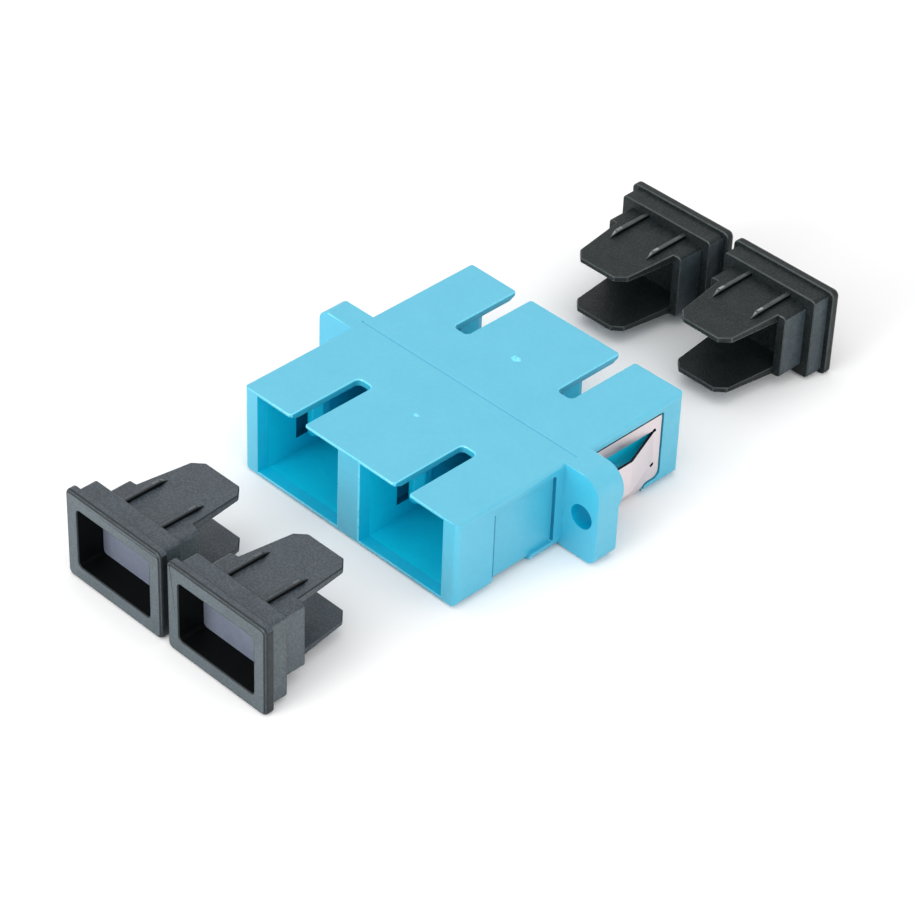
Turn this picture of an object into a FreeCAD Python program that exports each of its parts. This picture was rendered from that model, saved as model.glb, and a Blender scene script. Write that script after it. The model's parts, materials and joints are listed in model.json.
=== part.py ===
"""SC duplex fibre adapter with panel clip and four dust caps, modelled in millimetres.

Frame: X runs across the two ports, Y runs along the ferrule axes with the front
ports at -Y, Z is up.  The origin lies on the weld seam between the two housing
halves, midway between the two ferrule axes and at their height.

Every piece is a separate solid in its own STEP file: two housing halves, four
latch holders, two split sleeves, one sheet-metal panel clip and four dust caps
that stand pulled off in line with their ports.
"""
import FreeCAD, Part

import math
import os

Vector = FreeCAD.Vector

# ---------------------------------------------------------------- body shell
port_pitch = 12.7            # distance between the two ferrule axes
side_wall = 2.2              # port to the outer side of the body
top_wall = 0.65              # port to the top and bottom faces
front_length = 14.0          # seam to front end face
rear_length = 13.4           # seam to rear end face
body_top_radius = 0.35       # rounding of the two upper long edges
body_bottom_radius = 0.9     # rounding of the two lower long edges
body_end_radius = 0.6        # rounding of the upright edges at the end face
seam_groove_depth = 0.12     # half of the V left along the weld, top and bottom

# ---------------------------------------------------------------- ports
port_width = 9.2             # throat that guides the plug housing
port_height = 7.5
lead_in_side = 0.45          # widening of the mouth at each side
lead_in_top = 0.4            # widening of the mouth at top and bottom
lead_in_depth = 0.9
groove_depth = 0.6           # relief in each side wall for the latch arms
groove_length = 9.9          # seam to the relief's outer end
groove_height = 4.5
key_slot_width = 1.76        # slot for the plug's polarising key
key_slot_length = 8.0        # from the end face
key_slot_radius = 0.5        # rounding of its closed end
key_slot_flare = 0.2         # bevel of its two corners at the end face
holder_stop_thickness = 1.2  # bars that trap the latch holder
holder_stop_gap = 5.8        # clear height between the two bars

# ---------------------------------------------------------------- flange ears
front_flange_thickness = 1.45
rear_flange_thickness = 1.1
flange_pad_thickness = 0.5   # step on the upper part of the right rear ear
flange_pad_bottom = 0.8      # height at which the pad starts to rise
flange_pad_slope = 1.0       # height over which it rises
ear_round_radius = 2.0       # upper corner of the right ear
ear_left_radius = 1.1        # upper corner of the left ear
ear_corner_radius = 1.0      # lower corners of both
screw_offset = 2.15          # body side to screw axis
ear_margin = 1.85            # screw axis to ear tip
screw_hole_diameter = 2.4

# ---------------------------------------------------------------- clip pockets
pocket_depth = 0.35          # into the side wall
pocket_top_margin = 0.75     # from the top face down to the pocket
pocket_corner_radius = 0.3
pocket_heel_radius = 0.7     # lower corner at the ledge's rear end
ledge_end_radius = 0.6       # rounding of the ledge where it meets the strap slot
ledge_height = 1.0           # lip left under the pocket beside the strap
strap_recess_depth = 0.3     # into the bottom face
strap_corner_radius = 0.6    # where the strap wraps round the bottom edge
strap_slot_width = 4.6
front_pocket_start = 2.45    # distances from the seam
front_pocket_end = 9.65
front_strap_start = 5.05
rear_pocket_start = 2.25
rear_pocket_end = 10.85
rear_strap_start = 4.2

# ---------------------------------------------------------------- locating pegs
peg_diameter = 1.6
peg_length = 0.9
peg_offset = 2.2             # above and below the port axes
peg_clearance = 0.05         # all round and at the end

# ---------------------------------------------------------------- latch holders
holder_plate_thickness = 1.2
holder_clearance = 0.05      # plate to port wall, each side
barrel_diameter = 4.4
barrel_length = 6.6          # seam to barrel tip
barrel_chamfer = 0.3
barrel_end_hole = 2.9        # ferrule entry through the end stop
sleeve_end_play = 0.05
hook_inner_gap = 6.7         # clear width between the two arms
hook_thickness = 0.8
hook_height = 3.6
hook_length = 9.1            # seam to hook tip
hook_catch_depth = 0.6       # how far the catch reaches inward
hook_catch_length = 1.5
hook_lead_length = 0.7
hook_root_radius = 0.4
hook_tip_radius = 0.25

# ---------------------------------------------------------------- split sleeves
sleeve_bore = 2.5
sleeve_outer = 3.2
sleeve_length = 11.4
sleeve_slit = 0.5

# ---------------------------------------------------------------- panel clip
clip_thickness = 0.25
clip_clearance = 0.15        # sheet edge to pocket edge
tongue_height = 3.4
tongue_centre_height = 0.2   # above the port axes
tongue_hinge_margin = 0.9    # from the plate's rear edge to the bend line
tongue_slope_length = 4.4    # along Y, bend line to the knee
tongue_flat_length = 2.2     # along Y, knee to the free end
tongue_reach = 1.6           # how far the knee stands out
tongue_slit = 0.22           # cut width beside the tongue
relief_diameter = 0.5        # round ends of the two cuts

# ---------------------------------------------------------------- dust caps
cap_lip_gap = 0.7            # between the lips of two caps side by side
cap_lip_height = 9.1
cap_lip_thickness = 0.9
cap_lip_radius = 0.6
cap_lip_softening = 0.2      # bevel round the outer face
cap_block_width = 10.9
cap_block_height = 8.5
cap_block_length = 1.9
cap_block_radius = 0.4
cap_plug_clearance = 0.1     # plug body to port side wall
cap_plug_top_gap = 0.45      # plug body to port top and bottom wall
cap_plug_length = 2.8
cap_plug_radius = 0.4
cap_tongue_thickness = 0.8
cap_tongue_root = 7.2        # tongue width where it leaves the plug body
cap_tongue_tip = 6.0         # tongue width at the tip, before the corner cuts
cap_tongue_length = 6.4
cap_tongue_corner = 0.9      # straight cut across each corner of the tip
cap_tongue_taper = 0.3       # outer face falls this much towards the tip
cap_rib_width = 0.45
cap_rib_gap = 0.05           # rib crest to port wall
cap_rib_spacing = 4.6
cap_rib_length = 5.2         # shoulder to the rib's point
cap_rib_point_length = 0.9   # the rib narrows and falls over this length
cap_recess_width = 9.1
cap_recess_height = 6.0
cap_recess_depth = 2.7
cap_recess_radius = 0.4
cap_web_thickness = 1.1      # floor between outer recess and inner hollow
cap_hollow_wall = 0.9
front_cap_pull = 17.6        # cap shoulder to front end face, pulled off
rear_cap_pull = 18.8         # cap shoulder to rear end face, pulled off

# ---------------------------------------------------------------- working margins
cut_margin = 1.0             # how far a cut runs past the face it opens
fuse_overlap = 0.2           # how far a joined piece runs into its carrier
same_place = 1e-6            # points and planes closer than this are one

# ---------------------------------------------------------------- worked out
port_half = port_width / 2
port_top = port_height / 2
half_width = port_pitch / 2 + port_half + side_wall
half_height = port_top + top_wall
screw_x = half_width + screw_offset
ear_x = screw_x + ear_margin
pocket_floor = half_width - pocket_depth
pocket_top = half_height - pocket_top_margin
strap_ceiling = half_height - strap_recess_depth
ledge_top = -half_height + ledge_height
sleeve_half = sleeve_length / 2
cap_shoulder = cap_lip_thickness + cap_block_length
cap_lip_width = port_pitch - cap_lip_gap
plug_half_width = port_half - cap_plug_clearance
plug_half_height = port_top - cap_plug_top_gap
PORTS = {"left": -port_pitch / 2, "right": port_pitch / 2}


def box(x0, x1, y0, y1, z0, z1):
    """Return a box between two corners given in any order."""
    low = Vector(min(x0, x1), min(y0, y1), min(z0, z1))
    size = (abs(x1 - x0), abs(y1 - y0), abs(z1 - z0))
    return Part.makeBox(size[0], size[1], size[2], low)


def rounded_wire(corners):
    """Return a closed planar wire through corners of (point, radius)."""
    count = len(corners)
    trimmed = []
    for index, (point, radius) in enumerate(corners):
        if radius <= 0:
            trimmed.append((point, None, point))
            continue
        before = corners[index - 1][0] - point
        after = corners[(index + 1) % count][0] - point
        angle = before.getAngle(after)
        reach = radius / math.tan(angle / 2)
        before.normalize()
        after.normalize()
        start = point + before * reach
        end = point + after * reach
        bisector = before + after
        bisector.normalize()
        middle = point + bisector * (radius / math.sin(angle / 2) - radius)
        trimmed.append((start, middle, end))
    edges = []
    for index, (start, middle, end) in enumerate(trimmed):
        if middle is not None:
            edges.append(Part.Arc(start, middle, end).toShape())
        following = trimmed[(index + 1) % count][0]
        if (following - end).Length > same_place:
            edges.append(Part.LineSegment(end, following).toShape())
    return Part.Wire(edges)


def plate_xz(outline, y0, y1):
    """Extrude an outline of (x, z, radius) corners from y0 to y1."""
    wire = rounded_wire([(Vector(x, y0, z), r) for x, z, r in outline])
    return Part.Face(wire).extrude(Vector(0, y1 - y0, 0))


def plate_yz(outline, x0, x1):
    """Extrude an outline of (y, z, radius) corners from x0 to x1."""
    wire = rounded_wire([(Vector(x0, y, z), r) for y, z, r in outline])
    return Part.Face(wire).extrude(Vector(x1 - x0, 0, 0))


def plate_xy(outline, z0, z1):
    """Extrude an outline of (x, y, radius) corners from z0 to z1."""
    wire = rounded_wire([(Vector(x, y, z0), r) for x, y, r in outline])
    return Part.Face(wire).extrude(Vector(0, 0, z1 - z0))


def rectangle(u, v, radius):
    """Return the corners of a rectangle of half sizes u and v."""
    return [(-u, -v, radius), (u, -v, radius), (u, v, radius), (-u, v, radius)]


def rod(x, z, diameter, y0, y1):
    """Return a round bar along Y."""
    base = Vector(x, min(y0, y1), z)
    return Part.makeCylinder(diameter / 2, abs(y1 - y0), base, Vector(0, 1, 0))


def mirror_y(shape):
    """Return the shape mirrored in the seam plane."""
    return shape.mirror(Vector(0, 0, 0), Vector(0, 1, 0))


def mirror_x(shape):
    """Return the shape mirrored in the plane between the ports."""
    return shape.mirror(Vector(0, 0, 0), Vector(1, 0, 0))


def port_mouth(x, length):
    """Return the tapered lead-in at the mouth of one port of the +Y half."""
    wide = port_half + lead_in_side
    high = port_top + lead_in_top
    return Part.makeWedge(
        x - port_half, length - lead_in_depth, -port_top, -high, x - wide,
        x + port_half, length, port_top, high, x + wide)


def port_cavity(x, length):
    """Return the whole cut for one port of the +Y half.

    The throat runs to the stop bars, a lower window passes between them, and
    behind them the full section returns as the seat of the latch holder.
    """
    stop_end = holder_plate_thickness + holder_stop_thickness
    throat = box(x - port_half, x + port_half, stop_end, length, -port_top, port_top)
    window = box(x - port_half, x + port_half, holder_plate_thickness, stop_end,
                 -holder_stop_gap / 2, holder_stop_gap / 2)
    seat = box(x - port_half, x + port_half, 0, holder_plate_thickness,
               -port_top, port_top)
    groove = box(x - port_half - groove_depth, x + port_half + groove_depth,
                 holder_plate_thickness, groove_length,
                 -groove_height / 2, groove_height / 2)
    return throat.fuse([window, seat, groove, port_mouth(x, length)])


def key_slot(x, length):
    """Return the cut for the key slot in the top wall of one port."""
    half = key_slot_width / 2
    mouth = half + key_slot_flare
    start = length - key_slot_length
    outline = [
        (x - mouth, length + cut_margin, 0),
        (x - mouth, length, 0),
        (x - half, length - key_slot_flare, 0),
        (x - half, start, key_slot_radius),
        (x + half, start, key_slot_radius),
        (x + half, length - key_slot_flare, 0),
        (x + mouth, length, 0),
        (x + mouth, length + cut_margin, 0)]
    return plate_xy(outline, 0, half_height + cut_margin)


def clip_pocket(start, end, strap_start, side):
    """Return the side pocket cut of the +Y half, on side +1 or -1."""
    radius = pocket_corner_radius
    strap_end = strap_start + strap_slot_width
    bottom = -half_height - cut_margin
    if end - strap_end > pocket_heel_radius + ledge_end_radius:
        tail = [(strap_end, ledge_top, ledge_end_radius),
                (end, ledge_top, pocket_heel_radius)]
    else:
        strap_end = end
        tail = []
    outline = [
        (start, pocket_top, radius),
        (start, ledge_top, radius),
        (strap_start, ledge_top, 0),
        (strap_start, bottom, 0),
        (strap_end, bottom, 0)] + tail + [(end, pocket_top, radius)]
    return plate_yz(outline, side * pocket_floor, side * (half_width + cut_margin))


def strap_channel(strap_start):
    """Return the U-shaped cut that the strap of the clip wraps round."""
    strap_end = strap_start + strap_slot_width
    low = -half_height - cut_margin
    wide = half_width + cut_margin
    outer = box(-wide, wide, strap_start, strap_end, low, ledge_top)
    core = [
        (-pocket_floor, -strap_ceiling, strap_corner_radius),
        (pocket_floor, -strap_ceiling, strap_corner_radius),
        (pocket_floor, half_height, 0),
        (-pocket_floor, half_height, 0)]
    return outer.cut(plate_xz(core, strap_start - cut_margin, strap_end + cut_margin))


def ear_outline():
    """Return the flange outline: only the upper right corner is well rounded."""
    return [
        (-ear_x, -half_height, ear_corner_radius),
        (ear_x, -half_height, ear_corner_radius),
        (ear_x, half_height, ear_round_radius),
        (-ear_x, half_height, ear_left_radius)]


def rim_edges(shape, y):
    """Return the edges of an extruded plate that lie in the plane at y."""
    return [edge for edge in shape.Edges
            if abs(edge.BoundBox.YMin - y) < same_place
            and abs(edge.BoundBox.YMax - y) < same_place]


def seam_groove(side):
    """Return the cut that bevels the seam edge across the body, side +1 top or -1."""
    depth = seam_groove_depth
    outline = [
        (-depth, side * (half_height - 2 * depth), 0),
        (2 * depth, side * (half_height + depth), 0),
        (-depth, side * (half_height + depth), 0)]
    return plate_yz(outline, -half_width, half_width)


def housing_half(length, flange_thickness, pocket, strap_start, pad):
    """Return one housing half on the +Y side of the seam.

    The pad thickens the upper part of the right ear and ends in a slope below.
    """
    section = [
        (-half_width, -half_height, body_bottom_radius),
        (half_width, -half_height, body_bottom_radius),
        (half_width, half_height, body_top_radius),
        (-half_width, half_height, body_top_radius)]
    shell = plate_xz(section, flange_thickness / 2, length)
    plan = [
        (-half_width, 0, 0),
        (half_width, 0, 0),
        (half_width, length, body_end_radius),
        (-half_width, length, body_end_radius)]
    shell = shell.common(plate_xy(plan, -half_height, half_height))
    flange = plate_xz(ear_outline(), 0, flange_thickness)
    body = shell.fuse(flange)
    if pad > 0:
        pad_side = [
            (0, flange_pad_bottom, 0),
            (flange_thickness, flange_pad_bottom, 0),
            (flange_thickness + pad, flange_pad_bottom + flange_pad_slope, 0),
            (flange_thickness + pad, half_height, 0),
            (0, half_height, 0)]
        pad_block = plate_yz(pad_side, 0, ear_x)
        body = body.fuse(pad_block.common(plate_xz(ear_outline(), 0, length)))
    cuts = [strap_channel(strap_start), seam_groove(1), seam_groove(-1)]
    for side in (-1, 1):
        cuts.append(clip_pocket(pocket[0], pocket[1], strap_start, side))
        cuts.append(rod(side * screw_x, 0, screw_hole_diameter,
                        -cut_margin, flange_thickness + pad + cut_margin))
    for x in PORTS.values():
        cuts.append(port_cavity(x, length))
        cuts.append(key_slot(x, length))
    return body.cut(cuts)


def front_housing():
    """Return the front half: pegs on the seam, empty clip pockets."""
    half = housing_half(front_length, front_flange_thickness,
                        (front_pocket_start, front_pocket_end), front_strap_start, 0)
    half = mirror_y(half)
    pegs = [rod(0, z, peg_diameter, -fuse_overlap, peg_length)
            for z in (-peg_offset, peg_offset)]
    return half.fuse(pegs).removeSplitter()


def rear_housing():
    """Return the rear half: peg sockets, ear pads and the clip's seat."""
    half = housing_half(rear_length, rear_flange_thickness,
                        (rear_pocket_start, rear_pocket_end), rear_strap_start,
                        flange_pad_thickness)
    bore = peg_diameter + 2 * peg_clearance
    sockets = [rod(0, z, bore, -cut_margin, peg_length + peg_clearance)
               for z in (-peg_offset, peg_offset)]
    return half.cut(sockets).removeSplitter()


def hook_arm(x):
    """Return the right-hand latch arm of the +Y holder, with its inward catch."""
    inner = hook_inner_gap / 2
    outer = inner + hook_thickness
    catch = inner - hook_catch_depth
    root = holder_plate_thickness
    tip = hook_length
    outline = [
        (x + inner, root - fuse_overlap, 0),
        (x + outer, root - fuse_overlap, 0),
        (x + outer, tip, hook_tip_radius),
        (x + inner, tip, 0),
        (x + catch, tip - hook_lead_length, 0),
        (x + catch, tip - hook_catch_length, 0),
        (x + inner, tip - hook_catch_length, 0)]
    arm = plate_xy(outline, -hook_height / 2, hook_height / 2)
    gusset = [
        (x + inner - hook_root_radius, root, 0),
        (x + inner, root, 0),
        (x + inner, root + hook_root_radius, 0)]
    return arm.fuse(plate_xy(gusset, -hook_height / 2, hook_height / 2))


def latch_holder(x):
    """Return one latch holder of the +Y side: plate, two arms, half barrel."""
    width = port_half - holder_clearance
    height = port_top - holder_clearance
    plate = box(x - width, x + width, 0, holder_plate_thickness, -height, height)
    barrel = rod(x, 0, barrel_diameter, 0, barrel_length)
    barrel = barrel.makeChamfer(barrel_chamfer, rim_edges(barrel, barrel_length))
    right_arm = hook_arm(0)
    left_arm = mirror_x(right_arm)
    arms = [right_arm, left_arm]
    for arm in arms:
        arm.translate(Vector(x, 0, 0))
    stop = sleeve_half + sleeve_end_play
    holes = [rod(x, 0, sleeve_outer, -cut_margin, stop),
             rod(x, 0, barrel_end_hole, -cut_margin, barrel_length + cut_margin)]
    return plate.fuse([barrel] + arms).cut(holes).removeSplitter()


def split_sleeve(x):
    """Return one alignment sleeve, slit along its top."""
    tube = rod(x, 0, sleeve_outer, -sleeve_half, sleeve_half)
    end = sleeve_half + cut_margin
    bore = rod(x, 0, sleeve_bore, -end, end)
    slit = box(x - sleeve_slit / 2, x + sleeve_slit / 2, -end, end, 0, sleeve_outer)
    return tube.cut([bore, slit])


def clip_side():
    """Return the right-hand leg of the clip with its bent-out tongue."""
    inner = pocket_floor
    outer = pocket_floor + clip_thickness
    y0 = rear_pocket_start + clip_clearance
    y1 = rear_pocket_end - clip_clearance
    strap0 = rear_strap_start + clip_clearance
    strap1 = rear_strap_start + strap_slot_width - clip_clearance
    z0 = ledge_top + clip_clearance
    z1 = pocket_top - clip_clearance
    corner = pocket_corner_radius
    heel = pocket_heel_radius
    low = -strap_ceiling + strap_corner_radius
    outline = [
        (y0, z1, corner),
        (y0, z0, corner),
        (strap0, z0, 0),
        (strap0, low, 0),
        (strap1, low, 0),
        (strap1, z0, ledge_end_radius + clip_clearance),
        (y1, z0, heel),
        (y1, z1, corner)]
    leg = plate_yz(outline, inner, outer)

    hinge = y1 - tongue_hinge_margin
    knee = hinge - tongue_slope_length
    free = knee - tongue_flat_length
    top = tongue_centre_height + tongue_height / 2
    bottom = tongue_centre_height - tongue_height / 2
    cut_from = inner - cut_margin
    cut_to = outer + cut_margin
    window = box(cut_from, cut_to, free - tongue_slit, hinge,
                 bottom - tongue_slit, top + tongue_slit)
    reliefs = [
        Part.makeCylinder(relief_diameter / 2, cut_to - cut_from,
                          Vector(cut_from, hinge, z), Vector(1, 0, 0))
        for z in (bottom - tongue_slit / 2, top + tongue_slit / 2)]
    leg = leg.cut([window] + reliefs)
    bend = 2 * clip_thickness
    tongue = plate_xy([
        (inner, hinge + fuse_overlap, 0),
        (inner, hinge, bend),
        (inner + tongue_reach, knee, bend),
        (inner + tongue_reach, free, 0),
        (outer + tongue_reach, free, 0),
        (outer + tongue_reach, knee, bend + clip_thickness),
        (outer, hinge, bend),
        (outer, hinge + fuse_overlap, 0)], bottom, top)
    return leg.fuse(tongue)


def panel_clip():
    """Return the folded clip: a strap under the body and a leg on each side."""
    strap0 = rear_strap_start + clip_clearance
    strap1 = rear_strap_start + strap_slot_width - clip_clearance
    low = -strap_ceiling
    level = low + strap_corner_radius
    outer = plate_xz([
        (-pocket_floor - clip_thickness, low - clip_thickness,
         strap_corner_radius + clip_thickness),
        (pocket_floor + clip_thickness, low - clip_thickness,
         strap_corner_radius + clip_thickness),
        (pocket_floor + clip_thickness, level, 0),
        (-pocket_floor - clip_thickness, level, 0)], strap0, strap1)
    inner = plate_xz([
        (-pocket_floor, low, strap_corner_radius),
        (pocket_floor, low, strap_corner_radius),
        (pocket_floor, level + cut_margin, 0),
        (-pocket_floor, level + cut_margin, 0)],
        strap0 - cut_margin, strap1 + cut_margin)
    right = clip_side()
    return outer.cut(inner).fuse([right, mirror_x(right)]).removeSplitter()


def cap_tongue(sign):
    """Return one flat tongue of the cap with its two ribs, side +1 top or -1.

    The tongue's outer face is flush with the plug body and falls towards the tip.
    Each rib keeps its crest near the port wall and ends in a falling point.
    """
    y0 = cap_shoulder
    y1 = cap_shoulder + cap_plug_length
    y2 = y1 + cap_tongue_length
    root = cap_tongue_root / 2
    tip = cap_tongue_tip / 2
    top = plug_half_height
    bottom = top - cap_tongue_thickness
    outline = [
        (-root, y0, 0),
        (root, y0, 0),
        (root, y1, 0),
        (tip, y2 - cap_tongue_corner, 0),
        (tip - cap_tongue_corner, y2, 0),
        (cap_tongue_corner - tip, y2, 0),
        (-tip, y2 - cap_tongue_corner, 0),
        (-root, y1, 0)]
    side_view = plate_yz([
        (y0, sign * bottom, 0),
        (y0, sign * top, 0),
        (y1, sign * top, 0),
        (y2, sign * (top - cap_tongue_taper), 0),
        (y2, sign * bottom, 0)], -root, root)
    pieces = [plate_xy(outline, sign * top, sign * bottom).common(side_view)]
    crest = port_top - cap_rib_gap
    half = cap_rib_width / 2
    point = y0 + cap_rib_length
    level_end = point - cap_rib_point_length
    point_height = top - cap_tongue_taper * (point - y1) / cap_tongue_length
    rib_side = [
        (y0, sign * bottom, 0),
        (y0, sign * crest, 0),
        (level_end, sign * crest, 0),
        (point, sign * point_height, 0),
        (point, sign * bottom, 0)]
    for x in (-cap_rib_spacing / 2, cap_rib_spacing / 2):
        rib_plan = [
            (x - half, y0, 0),
            (x + half, y0, 0),
            (x + half, level_end, 0),
            (x, point, 0),
            (x - half, level_end, 0)]
        plan = plate_xy(rib_plan, sign * crest, sign * bottom)
        pieces.append(plan.common(plate_yz(rib_side, x - half, x + half)))
    return pieces


def dust_cap():
    """Return one cap with its outer face at y = 0 and its tongues towards +Y."""
    lip = plate_xz(rectangle(cap_lip_width / 2, cap_lip_height / 2, cap_lip_radius),
                   0, cap_lip_thickness)
    lip = lip.makeChamfer(cap_lip_softening, rim_edges(lip, 0))
    block = plate_xz(
        rectangle(cap_block_width / 2, cap_block_height / 2, cap_block_radius),
        cap_lip_thickness / 2, cap_shoulder)
    plug_end = cap_shoulder + cap_plug_length
    plug = plate_xz(rectangle(plug_half_width, plug_half_height, cap_plug_radius),
                    cap_shoulder - fuse_overlap, plug_end)
    pieces = [block, plug] + cap_tongue(1) + cap_tongue(-1)
    recess = plate_xz(
        rectangle(cap_recess_width / 2, cap_recess_height / 2, cap_recess_radius),
        -cut_margin, cap_recess_depth)
    hollow_side = plug_half_width - cap_hollow_wall
    hollow_top = plug_half_height - cap_tongue_thickness
    hollow = box(-hollow_side, hollow_side, cap_recess_depth + cap_web_thickness,
                 plug_end + cut_margin, -hollow_top, hollow_top)
    return lip.fuse(pieces).cut([recess, hollow]).removeSplitter()


def main():
    """Build every piece and write one STEP file for each."""
    os.makedirs("parts", exist_ok=True)
    nodes = {
        "front_housing": front_housing(),
        "rear_housing": rear_housing(),
        "panel_clip": panel_clip()}
    for name, x in PORTS.items():
        rear_holder = latch_holder(x)
        nodes["rear_latch_holder_" + name] = rear_holder
        nodes["front_latch_holder_" + name] = mirror_y(rear_holder)
        nodes["split_sleeve_" + name] = split_sleeve(x)
        front_cap = dust_cap()
        front_cap.translate(
            Vector(x, -front_length - front_cap_pull - cap_shoulder, 0))
        nodes["front_dust_cap_" + name] = front_cap
        rear_cap = dust_cap()
        rear_cap.rotate(Vector(0, 0, 0), Vector(0, 0, 1), 180)
        rear_cap.translate(
            Vector(x, rear_length + rear_cap_pull + cap_shoulder, 0))
        nodes["rear_dust_cap_" + name] = rear_cap
    for name, shape in nodes.items():
        solids = shape.Solids
        if len(solids) == 1:
            shape = solids[0]
        shape.exportStep("parts/" + name + ".step")
        extent = shape.BoundBox
        print("%-26s solids %d valid %s volume %8.2f  x %.2f..%.2f y %.2f..%.2f z %.2f..%.2f"
              % (name, len(solids), shape.isValid(), shape.Volume, extent.XMin,
                 extent.XMax, extent.YMin, extent.YMax, extent.ZMin, extent.ZMax))


main()
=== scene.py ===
"""Looks of a duplex fibre adapter with its spring clip and four dust caps.

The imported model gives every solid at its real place.  This script gives each one a
moulded, rolled or ground finish and soft edges, adds the two stubs that the gates
leave on the housing, and sets up a pale studio.  Lengths in the classes are
millimetres unless a name ends in _m, and meshes are written in metres.
"""
from __future__ import annotations

import json
import logging
import math
from dataclasses import dataclass
from enum import Enum, IntEnum

import bmesh
import bpy
import numpy as np
from mathutils import Matrix, Vector

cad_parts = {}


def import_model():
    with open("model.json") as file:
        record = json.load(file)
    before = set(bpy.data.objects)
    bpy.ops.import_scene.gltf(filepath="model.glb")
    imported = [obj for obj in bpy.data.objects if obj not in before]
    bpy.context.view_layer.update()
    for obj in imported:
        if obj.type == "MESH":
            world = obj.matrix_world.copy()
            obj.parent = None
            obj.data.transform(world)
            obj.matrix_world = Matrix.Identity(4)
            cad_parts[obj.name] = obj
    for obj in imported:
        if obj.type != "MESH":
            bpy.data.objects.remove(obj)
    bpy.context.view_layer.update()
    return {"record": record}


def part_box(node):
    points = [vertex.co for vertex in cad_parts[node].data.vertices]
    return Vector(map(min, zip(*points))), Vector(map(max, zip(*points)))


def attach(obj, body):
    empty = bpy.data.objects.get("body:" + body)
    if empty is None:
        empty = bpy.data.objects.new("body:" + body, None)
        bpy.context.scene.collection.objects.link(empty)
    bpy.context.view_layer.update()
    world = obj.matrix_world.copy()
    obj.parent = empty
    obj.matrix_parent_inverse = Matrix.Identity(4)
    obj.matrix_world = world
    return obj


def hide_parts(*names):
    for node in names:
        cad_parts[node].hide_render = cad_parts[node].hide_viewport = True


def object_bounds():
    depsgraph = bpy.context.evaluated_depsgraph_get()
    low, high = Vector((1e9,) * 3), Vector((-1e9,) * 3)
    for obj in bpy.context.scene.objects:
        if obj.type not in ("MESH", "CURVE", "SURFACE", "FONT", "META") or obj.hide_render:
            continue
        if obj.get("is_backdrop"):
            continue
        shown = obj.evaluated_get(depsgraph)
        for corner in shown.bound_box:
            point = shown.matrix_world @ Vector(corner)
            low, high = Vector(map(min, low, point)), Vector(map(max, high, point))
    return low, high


LOG = logging.getLogger("adapter")
MM = 0.001
WHITE = (1.0, 1.0, 1.0, 1.0)
# A Mix node's colour sockets share their names with others, so they go by number.
MIX_A = 6
MIX_B = 7
MIX_RESULT = 2
# The second finish of every sub-assembly is that of its rounded edges.
EDGE_FINISH = 1
# A face is square to an axis where that part of its unit normal is over SQUARE, looks
# along it where the part is over FACING, and across it where it is under ACROSS.
SQUARE = 0.99
FACING = 0.9
ACROSS = 0.5
Point = tuple[float, float, float]


class Side(Enum):
    """The two ends of the adapter, whose names the parts' names begin with."""

    FRONT = "front"
    REAR = "rear"


# ------------------------------------------------------------------ colour
def linear(hex_colour: str) -> tuple[float, float, float, float]:
    """Turn an sRGB hex colour into linear RGBA.

    Args:
        hex_colour: Six hex digits with a leading hash.

    Returns:
        Linear red, green, blue and an alpha of one.
    """
    digits = hex_colour.lstrip("#")
    srgb = np.array([int(digits[i:i + 2], 16) for i in (0, 2, 4)]) / 255.0
    low = srgb / 12.92
    high = ((srgb + 0.055) / 1.055) ** 2.4
    red, green, blue = np.where(srgb <= 0.04045, low, high)
    return (float(red), float(green), float(blue), 1.0)


# ------------------------------------------------------------------ node trees
def add_node(tree: bpy.types.NodeTree, kind: str, settings: dict | None = None,
             links: dict | None = None, **inputs: object) -> bpy.types.Node:
    """Add one node with its settings, input values and links.

    Args:
        tree: The node tree that takes the node.
        kind: The node's type name, without the leading ShaderNode.
        settings: Attributes of the node itself.
        links: Input name or number to the output socket that feeds it.
        **inputs: Input values, with underscores for the spaces in their names.

    Returns:
        The new node.
    """
    node = tree.nodes.new("ShaderNode" + kind)
    for name, value in (settings or {}).items():
        setattr(node, name, value)
    for name, value in inputs.items():
        node.inputs[name.replace("_", " ")].default_value = value
    for name, socket in (links or {}).items():
        tree.links.new(socket, node.inputs[name])
    return node


def seen_directly(tree: bpy.types.NodeTree) -> bpy.types.NodeSocket:
    """Return one for rays from the camera, a mirror or glass, and zero for others.

    Args:
        tree: The node tree.

    Returns:
        The value's socket.
    """
    rays = add_node(tree, "LightPath")
    mirror = add_node(tree, "Math", {"operation": "MAXIMUM"},
                      {0: rays.outputs["Is Glossy Ray"],
                       1: rays.outputs["Is Transmission Ray"]})
    seen = add_node(tree, "Math", {"operation": "MAXIMUM"},
                    {0: rays.outputs["Is Camera Ray"], 1: mirror.outputs[0]})
    return seen.outputs[0]


def spread(span: tuple[float, float], low: float, high: float) -> dict[str, float]:
    """Return the inputs that map a span of values onto the range low to high."""
    return {"From_Min": span[0], "From_Max": span[1], "To_Min": low, "To_Max": high}


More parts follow.
